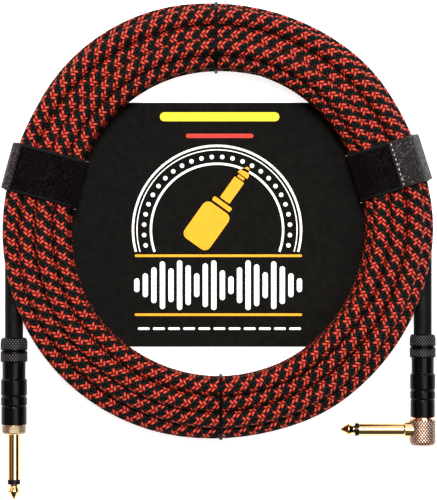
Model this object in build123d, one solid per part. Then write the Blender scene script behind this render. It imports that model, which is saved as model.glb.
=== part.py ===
from build123d import *
import math
import os

# A coiled instrument cable, lying flat as it is sold. It has a straight 6.35 mm plug on one end and a
# right-angle one on the other. The coil is tied with two wire ties, and strapped to a backing card.
# The origin is the centre of the footprint, on the surface it lies on. +X is right, +Y runs from the
# plugs to the top of the coil, and +Z is up. Lengths are in millimetres.

# ------------------------------------------------------------------ driving dimensions
CABLE_D = 8.6            # over the woven jacket
CABLE_LENGTH = 6100.0    # plug to plug

COIL_X = 0.46            # centre of the coil
COIL_Y = 14.27
COIL_OUTER_R = 108.5
COIL_INNER_R = 74.0
COIL_BOTTOM = 2.5        # it lies on the card and the straps
COIL_TOP = 28.0          # three layers of turns, nested
COIL_EDGE = 6.0          # how far the bundle's corners are taken off

SHAFT_R = 3.175          # 6.35 mm plug
TUBE_R = 1.9             # insulating tube inside the shaft
ROD_R = 1.0              # centre rod that joins the tip to its lug
BOSS_R = 5.2             # threaded boss that the barrel screws on
BOSS_LENGTH = 5.9
THREAD_PLAY = 0.06
BORE_R = 5.0             # middle of the barrel
TAIL_BORE_R = 5.45       # back of the barrel, where the collet sits
TAIL_THREAD_R = 5.9
TAIL_BORE_LENGTH = 11.0
TAIL_THREAD_GAP = 2.5    # from the thread's end to the handle's
LUG_T = 0.4
LUG_HALF_W = 1.2
LUG_JOG = 10.4           # behind the barrel's front, as the next five are
LUG_END = 17.4
WIRE_START = 12.4
CORE_START = 19.4
JACKET_START = 23.4
WHOLE_CABLE_START = 28.4
CRIMP_LENGTH = 2.0
CORE_R = 1.3
INNER_JACKET_R = 3.0
LINER = (4.7, 4.3)       # outer and inner radius
BARREL_TRAVEL = 5.0
NUT_TRAVEL = 3.0

SHRINK_R = 4.5           # heat-shrink sleeve over the cable
SHRINK_END_Y = 4.3       # where sleeve and lead disappear into the coil

STRAIGHT = {
    "name": "straight", "x": -101.74, "z": 6.85, "tip_y": -124.43, "front": 37.6,
    "length": 43.4, "radius": 6.83, "shaft": (7.75, 10.0, 32.75), "turn": 0,
}
ANGLE = {
    "name": "angle", "x": 102.61, "z": 6.6, "tip_y": -97.38, "front": 14.3,
    "length": 41.3, "radius": 6.58, "shaft": (7.25, 9.0, 32.0), "turn": 90,
}
COLLAR_R = 6.1           # knurled ring at the root of the straight shaft
HEAD_R = 6.55            # knurled elbow of the angle plug
HEAD_LENGTH = 13.4
ELBOW_SHAFT_V = 8.0      # shaft axis above the head's closed end
ELBOW_REACH = 41.1       # tip to the head's axis
ELBOW_COLLAR_R = 4.2

CARD = (160.0, 122.5, 0.5)
CARD_Y = 13.02
CARD_Z = 1.7
STRAP_W = 24.0
STRAP_T = 1.6
STRAP_BEND = 4.0         # outside radius of a strap's corners
TAB_T = 1.2
TAB_GAP = 0.1
STRAP_CLEAR = 0.3
LEFT_STRAP_ANGLE = 285.0     # clockwise from +Y
RIGHT_STRAP_ANGLE = 72.4
LEFT_HINGE_R = 103.0         # where each hook tab peels from
RIGHT_HINGE_R = 90.5
SLOT = (0.9, 3.1)        # the card's slots, inward and outward from the middle of a strap
SLOT_PLAY = 0.5
WIRE_R = 0.65                # twin-wire tie
TIE_CLEAR = 0.35

os.makedirs("parts", exist_ok=True)
written = {}


# ------------------------------------------------------------------ helpers
def write(name, shape):
    """Writes one node."""
    export_step(shape, f"parts/{name}.step")
    written[name] = shape


def turned(*edges):
    """A solid of revolution about Z from edges drawn in the XZ plane."""
    return revolve(make_face(edges), Axis.Z)


def lathe(points):
    """A solid of revolution about Z from (radius, height) points, joined in order."""
    return turned(Polyline(*[(r, 0, z) for r, z in points], close=True))


def tube(outer, inner, low, high):
    """A plain ring about Z."""
    ring = Cylinder(outer, high - low) - Cylinder(inner, high - low)
    return Pos(0, 0, (low + high) / 2) * ring


def block(low, high):
    """A box between two corners."""
    size = [b - a for a, b in zip(low, high)]
    centre = [(a + b) / 2 for a, b in zip(low, high)]
    return Pos(*centre) * Box(*size)


def place(plug, shape):
    """Takes a shape from a plug's own frame, whose Z runs from the tip to the cable, to the part's."""
    spot = Pos(plug["x"], plug["tip_y"], plug["z"])
    return spot * Rot(-90, 0, 0) * Rot(0, 0, plug["turn"]) * shape


# ------------------------------------------------------------------ contact end of a plug
def tip(neck_end, rod_end, rivet_r):
    """Pointed contact, with the rod that runs back through the shaft to its rivet head."""
    widest = 0.55 * neck_end
    neck = 0.87 * neck_end
    nose = ThreePointArc((0, 0, 0), (0.35, 0, 0.1), (0.6, 0, 0.42))
    cone = Line((0.6, 0, 0.42), (SHAFT_R, 0, widest - 0.25))
    rim = Line((SHAFT_R, 0, widest - 0.25), (SHAFT_R, 0, widest + 0.15))
    waist = Line((SHAFT_R, 0, widest + 0.15), (1.95, 0, neck))
    land = Polyline((1.95, 0, neck), (2.3, 0, neck_end), (ROD_R, 0, neck_end), (ROD_R, 0, rod_end - 0.5))
    rivet = Polyline((ROD_R, 0, rod_end - 0.5), (rivet_r, 0, rod_end - 0.5), (rivet_r, 0, rod_end),
                     (0, 0, rod_end))
    back = Line((0, 0, rod_end), (0, 0, 0))
    return turned(nose, cone, rim, waist, land, rivet, back)


def tip_insulator(neck_end, shaft_start, tube_end):
    """Black ring behind the tip, with the tube that keeps the rod off the shaft."""
    return lathe([(ROD_R, neck_end), (SHAFT_R, neck_end), (SHAFT_R, shaft_start), (TUBE_R, shaft_start),
                  (TUBE_R, tube_end), (ROD_R, tube_end)])


def tip_lug(start, jog, end, offset):
    """Solder lug: a flat strip that steps in to the axis, where the centre wire is soldered."""
    arm = block((-LUG_HALF_W, offset, start), (LUG_HALF_W, offset + LUG_T, jog))
    step = block((-LUG_HALF_W, LUG_T, jog - LUG_T), (LUG_HALF_W, offset + LUG_T, jog))
    pad = block((-LUG_HALF_W, LUG_T, jog - LUG_T), (LUG_HALF_W, 2 * LUG_T, end))
    return arm + step + pad


# ------------------------------------------------------------------ parts that both handles share
def ground_lug(front, bore):
    """Ring against the boss, with a strip back to the crimp that grips the cable's inner jacket."""
    ring_start, crimp_start = front + BOSS_LENGTH, front + JACKET_START + 1.5
    crimp_end = crimp_start + CRIMP_LENGTH
    ring = tube(4.0, bore, ring_start, ring_start + LUG_T)
    strip = block((-1.5, -3.7, ring_start + 0.1), (1.5, -3.28, crimp_end))
    crimp = tube(INNER_JACKET_R + LUG_T, INNER_JACKET_R, crimp_start, crimp_end)
    return ring + strip + crimp


def barrel(plug):
    """Outer handle: front skirt, two grooves, waist and knurled band, and the thread for its nut."""
    front, length, r = plug["front"], plug["length"], plug["radius"]

    def at(share):
        return front + share * length

    skirt, waist, groove = 0.933 * r, 0.853 * r, 0.918 * r
    thread_end = front + length - TAIL_THREAD_GAP
    outside = [
        (BOSS_R + THREAD_PLAY, front), (skirt - 0.25, front), (skirt, front + 0.25), (skirt, at(0.196)),
        (groove, at(0.211)), (0.959 * r, at(0.226)), (0.959 * r, at(0.306)), (groove, at(0.324)),
        (0.963 * r, at(0.341)), (0.963 * r, at(0.508)), (waist, at(0.530)), (waist, at(0.716)),
        (r, at(0.724)), (r, at(0.834)), (r - 0.7, at(0.850)), (TAIL_THREAD_R, at(0.850)),
        (TAIL_THREAD_R, thread_end),
    ]
    inside = [
        (TAIL_BORE_R, thread_end), (TAIL_BORE_R, front + length - TAIL_BORE_LENGTH),
        (BORE_R, front + length - TAIL_BORE_LENGTH),
        (BORE_R, front + 6.7), (BOSS_R + THREAD_PLAY, front + 6.7),
    ]
    return lathe(outside + inside)


def tail_nut(plug):
    """Knurled nut with a rounded shoulder, which squeezes the collet onto the cable."""
    end, r = plug["front"] + plug["length"], plug["radius"]
    start = end - 0.141 * plug["length"]
    bore = TAIL_THREAD_R + THREAD_PLAY
    mouth = SHRINK_R + 0.32
    outside = Polyline((bore, 0, start), (r - 0.45, 0, start), (r, 0, start + 0.4), (r, 0, end - 2.6))
    shoulder = ThreePointArc((r, 0, end - 2.6), (r - 0.42, 0, end - 0.95), (mouth + 0.5, 0, end))
    inside = Polyline((mouth + 0.5, 0, end), (mouth, 0, end), (mouth, 0, end - 0.8), (bore, 0, end - 1.6),
                      (bore, 0, start))
    return turned(outside, shoulder, inside)


def collet(plug):
    """Plastic collet in the back of the barrel, slotted so that the nut can close it."""
    end = plug["front"] + plug["length"]
    body = tube(TAIL_BORE_R - 0.05, SHRINK_R + 0.3, end - 10.0, end - 2.4)
    flange = tube(TAIL_THREAD_R - 0.25, SHRINK_R + 0.3, end - 2.4, end - 1.8)
    slots = [Rot(0, 0, 90 * i) * block((-0.5, 0, end - 10.1), (0.5, 6, end - 4.5)) for i in range(4)]
    return body + flange - slots


def cable_end(plug):
    """The stripped cable inside the handle, in its layers, out to where the whole cable starts."""
    front, name = plug["front"], plug["name"]
    whole = front + WHOLE_CABLE_START
    wire_length = WHOLE_CABLE_START - WIRE_START
    centre = Pos(0, 0, whole - wire_length / 2) * Cylinder(LUG_T, wire_length)
    pigtail = Pos(0, -2.58, front + CORE_START) * Cylinder(0.7, 8.0)
    write(f"{name}_centre_wire", place(plug, centre))
    write(f"{name}_core_insulation", place(plug, tube(CORE_R, LUG_T, front + CORE_START, whole)))
    write(f"{name}_shield_pigtail", place(plug, pigtail))
    write(f"{name}_inner_jacket", place(plug, tube(INNER_JACKET_R, CORE_R, front + JACKET_START, whole)))
    start_y = plug["tip_y"] + whole
    run = SHRINK_END_Y - start_y
    lead = Pos(plug["x"], start_y + run / 2, plug["z"]) * Rot(90, 0, 0) * Cylinder(CABLE_D / 2, run)
    write(f"{name}_end_lead", lead)
    share = lead.volume / (math.pi * CABLE_D ** 2 / 4 * run)
    print(f"{name} lead: straight, {run:.1f} mm, volume over section times length {share:.4f}")


def heat_shrink(plug):
    """Sleeve on the cable from the nut into the coil."""
    start_y = plug["tip_y"] + plug["front"] + plug["length"]
    run = SHRINK_END_Y - start_y
    sleeve = Cylinder(SHRINK_R, run) - Cylinder(CABLE_D / 2, run)
    return Pos(plug["x"], start_y + run / 2, plug["z"]) * Rot(90, 0, 0) * sleeve


def handle(plug, lug_bore):
    """Writes everything behind the contacts of one plug."""
    name, front, length = plug["name"], plug["front"], plug["length"]
    write(f"{name}_ground_lug", place(plug, ground_lug(front, lug_bore)))
    write(f"{name}_barrel_liner", place(plug, tube(*LINER, front + 7.4, front + 22.4)))
    write(f"{name}_barrel", place(plug, barrel(plug)))
    write(f"{name}_cable_collet", place(plug, collet(plug)))
    write(f"{name}_tail_nut", place(plug, tail_nut(plug)))
    write(f"{name}_heat_shrink", heat_shrink(plug))
    cable_end(plug)


# ------------------------------------------------------------------ the two plugs
def straight_plug():
    """Plug whose shaft is in line with its handle."""
    plug = STRAIGHT
    neck_end, shaft_start, shaft_end = plug["shaft"]
    front = plug["front"]
    boss_end = front + BOSS_LENGTH
    shaft = lathe([
        (TUBE_R, shaft_start), (SHAFT_R, shaft_start), (SHAFT_R, shaft_end), (COLLAR_R - 0.9, shaft_end),
        (COLLAR_R, shaft_end + 0.9), (COLLAR_R, front - 0.1), (BOSS_R, front - 0.1), (BOSS_R, boss_end),
        (TUBE_R, boss_end),
    ])
    washer = tube(2.9, ROD_R, boss_end + 0.4, boss_end + 1.7)
    eye = tube(2.4, ROD_R, boss_end + 1.7, boss_end + 1.7 + LUG_T)
    lug = eye + tip_lug(boss_end + 1.7, front + LUG_JOG, front + LUG_END, 1.6)
    write("straight_tip", place(plug, tip(neck_end, boss_end + 2.6, 1.5)))
    write("straight_tip_insulator", place(plug, tip_insulator(neck_end, shaft_start, boss_end + 0.4)))
    write("straight_shaft", place(plug, shaft))
    write("straight_lug_washer", place(plug, washer))
    write("straight_tip_lug", place(plug, lug))
    handle(plug, TUBE_R)


def elbow(shape):
    """Takes a shape from the angle plug's contact axis, tip at the origin along Z, to the part's frame."""
    spot = Pos(ANGLE["x"] - ELBOW_REACH, ANGLE["tip_y"] + ELBOW_SHAFT_V, ANGLE["z"])
    return spot * Rot(0, 90, 0) * shape


def angle_plug():
    """Plug whose shaft leaves its elbow head at right angles to the handle."""
    plug = ANGLE
    neck_end, shaft_start, shaft_end = plug["shaft"]
    front = plug["front"]
    boss_end = front + BOSS_LENGTH
    collar_end, spigot_end, tube_end = 36.45, 38.0, 38.85
    cavity_r, passage_r, spigot_r = 3.6, 2.9, 3.0
    lug_offset = ELBOW_REACH - tube_end - LUG_T

    outside = Polyline((0, 0, 0), (HEAD_R - 1.6, 0, 0))
    edge = ThreePointArc((HEAD_R - 1.6, 0, 0), (HEAD_R - 0.42, 0, 0.42), (HEAD_R, 0, 1.5))
    rear = Polyline((HEAD_R, 0, 1.5), (HEAD_R, 0, HEAD_LENGTH), (BOSS_R, 0, HEAD_LENGTH), (BOSS_R, 0, boss_end),
                    (passage_r, 0, boss_end), (passage_r, 0, HEAD_LENGTH - 1), (cavity_r, 0, HEAD_LENGTH - 1),
                    (cavity_r, 0, 2.2), (0, 0, 2.2), (0, 0, 0))
    counterbore = Pos(0, 0, collar_end - 4) * Cylinder(ELBOW_COLLAR_R, 8)
    cross_bore = Pos(0, 0, collar_end) * Cylinder(spigot_r, 6)
    socket = elbow(counterbore + cross_bore)
    head = place(plug, turned(outside, edge, rear)) - socket
    shaft = lathe([
        (TUBE_R, shaft_start), (SHAFT_R, shaft_start), (SHAFT_R, shaft_end), (ELBOW_COLLAR_R, shaft_end),
        (ELBOW_COLLAR_R, collar_end), (spigot_r, collar_end), (spigot_r, spigot_end), (TUBE_R, spigot_end),
    ])
    disc = elbow(tube(1.8, ROD_R, tube_end, tube_end + LUG_T))
    arm = tip_lug(ELBOW_SHAFT_V + 1.4, front + LUG_JOG, front + LUG_END, lug_offset)
    bush = Pos(0, 0, boss_end - 0.8) * Cylinder(passage_r, 2.4)
    slot = block((-LUG_HALF_W, lug_offset, 0), (LUG_HALF_W, lug_offset + LUG_T, front + LUG_JOG))
    write("angle_tip", elbow(tip(neck_end, tube_end + LUG_T + 0.5, 1.4)))
    write("angle_tip_insulator", elbow(tip_insulator(neck_end, shaft_start, tube_end)))
    write("angle_shaft", elbow(shaft))
    write("angle_head", head)
    write("angle_lug_bush", place(plug, bush - slot))
    write("angle_tip_lug", disc + place(plug, arm))
    handle(plug, passage_r)


# ------------------------------------------------------------------ coil, straps, ties and card
def cable_coil():
    """The outer shape of all the turns, with a channel under it for each tail of the cable."""
    c, s = COIL_EDGE, COIL_EDGE / 3
    inner, outer, low, high = COIL_INNER_R, COIL_OUTER_R, COIL_BOTTOM, COIL_TOP
    coil = Pos(COIL_X, COIL_Y, 0) * lathe([
        (inner, low + c), (inner + s, low + s), (inner + c, low), (outer - c, low), (outer - s, low + s),
        (outer, low + c), (outer, high - c), (outer - s, high - s), (outer - c, high), (inner + c, high),
        (inner + s, high - s), (inner, high - c),
    ])
    tail_half = SHRINK_R + 0.6
    for plug in (STRAIGHT, ANGLE):
        x, z, end = plug["x"], plug["z"], plug["tip_y"] + plug["front"] + plug["length"]
        start, nut_open = end - 20, end + BARREL_TRAVEL + NUT_TRAVEL + 1
        tail = block((x - tail_half, start, 0), (x + tail_half, SHRINK_END_Y, z + tail_half))
        room = block((x - z - 0.5, start, 0), (x + z + 0.5, nut_open, 2 * z + 0.6))
        coil = coil - tail - room
    return coil


def around(angle, shape):
    """Takes a shape from a strap's own frame, X outward and Y along the coil, to its place on the coil."""
    return Pos(COIL_X, COIL_Y, 0) * Rot(0, 0, 90 - angle) * shape


def strap_ring(low, high, width, thickness):
    """A closed band: a rounded loop between two corners in the XZ plane."""
    size = (high[0] - low[0], high[1] - low[1])
    hole = (size[0] - 2 * thickness, size[1] - 2 * thickness)
    middle = Pos((low[0] + high[0]) / 2, width / 2, (low[1] + high[1]) / 2) * Rot(90, 0, 0)
    outline = RectangleRounded(*size, STRAP_BEND) - RectangleRounded(*hole, STRAP_BEND - thickness)
    return extrude(middle * outline, width)


def strap(side, angle, hinge_r):
    """Loop band round the bundle and under the card, with the hook tab that closes over it."""
    inner = math.sqrt(COIL_INNER_R ** 2 - (STRAP_W / 2) ** 2) - STRAP_CLEAR - STRAP_T
    outer = COIL_OUTER_R + STRAP_CLEAR + STRAP_T
    top = COIL_TOP + STRAP_CLEAR + STRAP_T
    band = strap_ring((inner, 0), (outer, top), STRAP_W, STRAP_T)
    reach = TAB_GAP + TAB_T
    shell = strap_ring((inner - reach, -reach), (outer + reach, top + reach), STRAP_W - 1, TAB_T)
    tab = shell & block((hinge_r, -STRAP_W, 9.0), (outer + 9, STRAP_W, top + 9))
    write(f"{side}_strap_band", around(angle, band))
    write(f"{side}_strap_hook_tab", around(angle, tab))
    return inner + STRAP_T / 2


def wire_tie(name, x, low_y, high_y, knot_y, lean):
    """Twin wire bent round the bundle, its two ends twisted together into a short tail."""
    low_z, high_z = COIL_BOTTOM - TIE_CLEAR - WIRE_R, COIL_TOP + TIE_CLEAR + WIRE_R
    size = (high_y - low_y, high_z - low_z)
    middle = Pos(x, (low_y + high_y) / 2, (low_z + high_z) / 2) * Rot(0, 0, 90) * Rot(90, 0, 0)
    route = (middle * RectangleRounded(*size, 5.0)).wire()
    start = route @ 0
    loop = sweep(Plane(origin=start, z_dir=route % 0) * Circle(WIRE_R), path=route)
    tail = Pos(x, knot_y, high_z - 6.0) * Rot(lean, 0, 0) * Pos(0, 0, 3.0) * Cylinder(0.95, 7.0)
    write(name, loop + tail)


def packing():
    """Straps, wire ties and the card behind the coil."""
    left = strap("left", LEFT_STRAP_ANGLE, LEFT_HINGE_R)
    right = strap("right", RIGHT_STRAP_ANGLE, RIGHT_HINGE_R)
    gap = TIE_CLEAR + WIRE_R
    wire_tie("top_wire_tie", COIL_X - 1.2, COIL_Y + COIL_INNER_R - gap, COIL_Y + COIL_OUTER_R + gap,
             COIL_Y + COIL_INNER_R - gap, 60)
    wire_tie("bottom_wire_tie", COIL_X + 1.2, COIL_Y - COIL_OUTER_R - gap, COIL_Y - COIL_INNER_R + gap,
             COIL_Y - COIL_OUTER_R - gap, 12)
    width, height, thickness = CARD
    card = Pos(COIL_X, CARD_Y, CARD_Z + thickness / 2) * Box(width, height, thickness)
    half_slot = STRAP_W / 2 + SLOT_PLAY
    for angle, r in ((LEFT_STRAP_ANGLE, left), (RIGHT_STRAP_ANGLE, right)):
        slot = block((r - SLOT[0], -half_slot, 0), (r + SLOT[1], half_slot, CARD_Z + 2))
        card -= around(angle, slot)
    write("backing_card", card)


straight_plug()
angle_plug()
write("cable_coil", cable_coil())
packing()

# ------------------------------------------------------------------ what was made
middle_r = (COIL_OUTER_R + COIL_INNER_R) / 2
starts = [plug["tip_y"] + plug["front"] + WHOLE_CABLE_START for plug in (STRAIGHT, ANGLE)]
tails = 2 * SHRINK_END_Y - sum(starts)
turns = (CABLE_LENGTH - tails) / (2 * math.pi * middle_r)
print(f"turns in the coil: {turns:.2f}, coil top {COIL_TOP:.2f} mm")
box = Compound(children=list(written.values())).bounding_box()
print(f"nodes {len(written)}, box {box.min} to {box.max}")
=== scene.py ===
"""A coiled instrument cable: woven jacket, two gold plugs, hook-and-loop straps, wire ties and a card."""

import math

import bpy
import numpy as np
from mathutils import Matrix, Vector, noise


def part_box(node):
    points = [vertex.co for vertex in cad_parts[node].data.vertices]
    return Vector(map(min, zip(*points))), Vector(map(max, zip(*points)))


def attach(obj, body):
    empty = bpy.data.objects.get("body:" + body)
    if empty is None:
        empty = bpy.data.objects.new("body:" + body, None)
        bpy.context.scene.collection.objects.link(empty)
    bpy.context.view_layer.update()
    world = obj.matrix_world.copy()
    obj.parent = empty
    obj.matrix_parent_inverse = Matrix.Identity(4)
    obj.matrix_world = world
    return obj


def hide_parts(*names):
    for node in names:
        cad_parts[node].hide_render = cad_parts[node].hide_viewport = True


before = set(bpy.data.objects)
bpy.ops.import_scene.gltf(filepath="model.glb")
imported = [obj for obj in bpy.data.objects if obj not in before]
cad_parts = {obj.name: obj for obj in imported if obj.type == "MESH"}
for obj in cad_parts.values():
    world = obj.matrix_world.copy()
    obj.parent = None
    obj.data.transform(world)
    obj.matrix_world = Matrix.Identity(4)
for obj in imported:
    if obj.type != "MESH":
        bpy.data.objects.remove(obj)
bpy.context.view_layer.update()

MM = 0.001
UP = np.array([0.0, 0.0, 1.0])
ALONG_X = np.array([1.0, 0.0, 0.0])
ALONG_Y = np.array([0.0, 1.0, 0.0])


# ---------- places, from the frame
def low(node):
    return np.array(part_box(node)[0])


def high(node):
    return np.array(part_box(node)[1])


def middle(node):
    return (low(node) + high(node)) / 2


def size(node):
    return high(node) - low(node)


COIL = middle("cable_coil")
COIL_AXIS = np.array([COIL[0], COIL[1], 0])
CABLE_D = size("straight_end_lead")[0]
CABLE_R = CABLE_D / 2

# the coil: centre lines in three nested layers, in turns from the angle plug's tail
TURNS = 10.5
STEPS = 24  # points in a turn
TAIL_R = 102.15 * MM  # where both tails leave the coil
FLOOR_Z = 6.8 * MM  # lowest centre line
LAYER = 7.6 * MM  # from one layer up to the next
TURNS_SCALE = 0.985  # the laid radii, once their heights are allowed for
TOP_START = 6.5  # turns before the top layer starts
TOP_PITCH = 8.75 * MM
LAID_R = 78.0 * MM  # first strand of the top layer
# how far out and in the turns may lie, in millimetres at headings in degrees: ties and straps squeeze them
OUTLINE = [(0, 104.6), (25, 103.2), (40, 103.2), (64, 100.6), (73, 100.6), (95, 102.6), (130, 103),
           (148, 104.6), (170, 102.6), (200, 104.4), (228, 106.6), (250, 105), (268, 102.2), (285, 100.6),
           (300, 103), (325, 107.2), (342, 107.1), (360, 104.6)]
INLINE = [(0, 79.6), (20, 79.4), (40, 78.4), (55, 77.2), (75, 76.8), (90, 77.2), (112, 77.8), (128, 79),
          (150, 80.8), (180, 81.2), (215, 80.7), (235, 80.6), (250, 79), (265, 77.2), (285, 76.8),
          (300, 77.4), (320, 79), (345, 79.6), (360, 79.6)]
# low strands leave room for the straight plug's nut
NUT_HEADINGS = (215, 262)  # degrees, where it lies
NUT_TOP = 12 * MM  # centre lines below this
NUT_CLEAR_R = 101.5 * MM  # stay inside this

# the woven jacket
BRAID_REPEAT = 7.6 * MM
BRAID_ROWS = 12  # rings of points in a repeat
BRAID_COLUMNS = 36
BRAID_RELIEF = 0.17 * MM
YARNS = 12  # in each direction round the cable
TWILL = 4  # yarns in a repeat, two of them over and two under
FLOAT_RISE = 0.75  # share of its height that a yarn gains between its ends and its middle

# the plugs
SHAFT_R = size("straight_tip")[0] / 2
SHAFT_BORE_R = 1.9 * MM
BOSS_R = 5.2 * MM  # over the thread that a barrel screws onto
ANGLE_COLLAR = (32.0 * MM, 36.45 * MM)  # from the angle plug's point
NUT_THREAD_R = 5.96 * MM
KNURL_COUNT = 26
KNURL_DEPTH = 0.24 * MM
KNURL_STEP = 0.16 * MM
KNURL_STRETCH = 1.15  # a diamond's length over its width
KNURL_FLAT = 0.9  # share of the depth at which the crests are cut off
KNURL_ROUGHNESS = 0.24  # added to the finish in a knurled zone
LATHE_COLUMNS = 240
SLEEVE_COLUMNS = 48

# straps, ties and card
LEFT_STRAP = 285.0  # degrees clockwise from +Y
RIGHT_STRAP = 72.4
LEFT_HINGE_R = 103 * MM
RIGHT_HINGE_R = 90.5 * MM
STRAP_W = 24 * MM
STRAP_T = 1.3 * MM
STRAP_GAP = 0.25 * MM  # between cable and band, and between band and tab
STRAP_LIFT = 0.02 * MM  # of the band off the floor
# how much wider a strap is at some heights: it fills the card's slots and spreads under them
STRAP_SPREAD = [(0.9 * MM, 2.6 * MM), (1.5 * MM, 0.9 * MM), (2.5 * MM, 0.85 * MM), (6 * MM, 0)]
# places that a strap's inner side is kept outside of, so that it hangs straight down into the card's slot
STRAP_SLACK = [(76.3 * MM, 19 * MM), (76.3 * MM, 6.8 * MM)]
LEG_SQUARENESS = 2.2  # how square a strap or tie turns under the bundle
TAB_T = 1.0 * MM
TAB_INSET = 0.6 * MM  # how much narrower a tab is than its band
TAB_END_Z = 9 * MM
BAND_FUZZ = 0.22 * MM  # unevenness of the loop pile
TAB_FUZZ = 0.08 * MM
STITCHES = 9
STITCH_HALF = 0.4 * MM  # half of a stitch's length
STITCH_R = 0.3 * MM
WIRE_R = 0.42 * MM
TWIST_PITCH = 2.6 * MM  # of a wire tie's ends
CARD_TOP = high("backing_card")[2]

# the view
VIEW_CENTRE = (0.5 * MM, 0.3 * MM)
VIEW_HEIGHT = 0.25  # what the picture's height shows at the plugs' level
CAMERA_DISTANCE = 1.05
SENSOR_HEIGHT = 36  # millimetres
SKY_STRENGTH = 2.9
FLOOR_GLOW = 0.68
FLOOR_HALF = 1.5


# ---------- node helpers
def feed(tree, socket, value):
    """Gives a socket a value, or joins another socket to it."""
    if isinstance(value, bpy.types.NodeSocket):
        tree.links.new(value, socket)
    else:
        socket.default_value = value


def calc(tree, operation, *values):
    """One Math node."""
    node = tree.nodes.new("ShaderNodeMath")
    node.operation = operation
    for socket, value in zip(node.inputs, values):
        feed(tree, socket, value)
    return node.outputs[0]


def blend(tree, share, first, second, mode="MIX"):
    """Mixes two colours."""
    node = tree.nodes.new("ShaderNodeMix")
    node.data_type = "RGBA"
    node.blend_type = mode
    feed(tree, node.inputs[0], share)
    feed(tree, node.inputs[6], first)
    feed(tree, node.inputs[7], second)
    return node.outputs[2]


def spread(tree, value, from_low, from_high, to_low=0.0, to_high=1.0):
    """Maps a range onto another, and clamps it."""
    node = tree.nodes.new("ShaderNodeMapRange")
    feed(tree, node.inputs[0], value)
    for socket, number in zip(node.inputs[1:5], (from_low, from_high, to_low, to_high)):
        feed(tree, socket, number)
    return node.outputs[0]


def speckle(tree, scale, detail=3.0, stretch=(1, 1, 1)):
    """Noise in the object's own space, scale in features a metre."""
    place = tree.nodes.new("ShaderNodeTexCoord").outputs["Object"]
    sized = tree.nodes.new("ShaderNodeMapping")
    feed(tree, sized.inputs["Vector"], place)
    feed(tree, sized.inputs["Scale"], stretch)
    node = tree.nodes.new("ShaderNodeTexNoise")
    feed(tree, node.inputs["Vector"], sized.outputs[0])
    feed(tree, node.inputs["Scale"], scale)
    feed(tree, node.inputs["Detail"], detail)
    return node.outputs[0]


def pattern_of(tree):
    """The two pattern coordinates that skin() gives a mesh."""
    pattern = tree.nodes.new("ShaderNodeUVMap")
    pattern.uv_map = "pattern"
    apart = tree.nodes.new("ShaderNodeSeparateXYZ")
    feed(tree, apart.inputs[0], pattern.outputs[0])
    return apart.outputs[0], apart.outputs[1]


def bumped(tree, shader, height, distance, strength=1.0, before=None):
    """Sends a height into the shader's normal."""
    node = tree.nodes.new("ShaderNodeBump")
    feed(tree, node.inputs["Strength"], strength)
    feed(tree, node.inputs["Distance"], distance)
    feed(tree, node.inputs["Height"], height)
    if before is not None:
        feed(tree, node.inputs["Normal"], before)
    feed(tree, shader.inputs["Normal"], node.outputs[0])
    return node.outputs[0]


def rgb(red, green, blue):
    """A colour given as it looks on a screen, 0 to 255, as the shader wants it."""
    return tuple(((c / 255 + 0.055) / 1.055) ** 2.4 if c > 10 else c / 255 / 12.92
                 for c in (red, green, blue)) + (1,)


def new_material(name, metallic=0.0, roughness=0.5, **more):
    """A material, its node tree and its shader, with the shader's own constant values."""
    material = bpy.data.materials.new(name)
    material.use_nodes = True
    tree = material.node_tree
    shader = tree.nodes["Principled BSDF"]
    shader.inputs["Metallic"].default_value = metallic
    shader.inputs["Roughness"].default_value = roughness
    for key, value in more.items():
        shader.inputs[key.replace("_", " ")].default_value = value
    return material, tree, shader


def finish_of(name, dark, light, grain, bump, roughness=(0.3, 0.5), stretch=(1, 1, 1), knurl=None, **more):
    """A finish that varies between two colours, with grain of that many features a metre.

    knurl is the colours of the grooves, darkened as dirt and as painted shade, and of the crests, lightened
    as wear and as a painted highlight, where a lathe piece is knurled."""
    material, tree, shader = new_material(name, **more)
    patches = speckle(tree, grain / 6, 2.0, stretch)
    fine = speckle(tree, grain, 4.0, stretch)
    tone = blend(tree, spread(tree, patches, 0.35, 0.65), dark, light)
    if knurl:
        crest, cut_zone = pattern_of(tree)
        # painted shade in the knurl's grooves and painted highlight on its crests, as well as dirt and wear
        tone = blend(tree, cut_zone, tone, blend(tree, spread(tree, crest, 0.25, 0.8), *knurl))
    feed(tree, shader.inputs["Base Color"], tone)
    gloss = spread(tree, fine, 0.3, 0.7, *roughness)
    if knurl:
        gloss = calc(tree, "MULTIPLY_ADD", cut_zone, KNURL_ROUGHNESS, gloss)
    feed(tree, shader.inputs["Roughness"], gloss)
    bumped(tree, shader, fine, bump)
    return material


# ---------- mesh helpers
def placed(name, data):
    """A new object in the scene."""
    piece = bpy.data.objects.new(name, data)
    bpy.context.scene.collection.objects.link(piece)
    return piece


def outward(vertices, quads):
    """True if a closed mesh's quads face out."""
    centred = vertices - vertices.mean(0)
    a, b, c, d = (centred[quads[:, k]] for k in range(4))
    return (np.cross(b - a, c - a) * a).sum() + (np.cross(c - a, d - a) * a).sum() > 0


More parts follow.
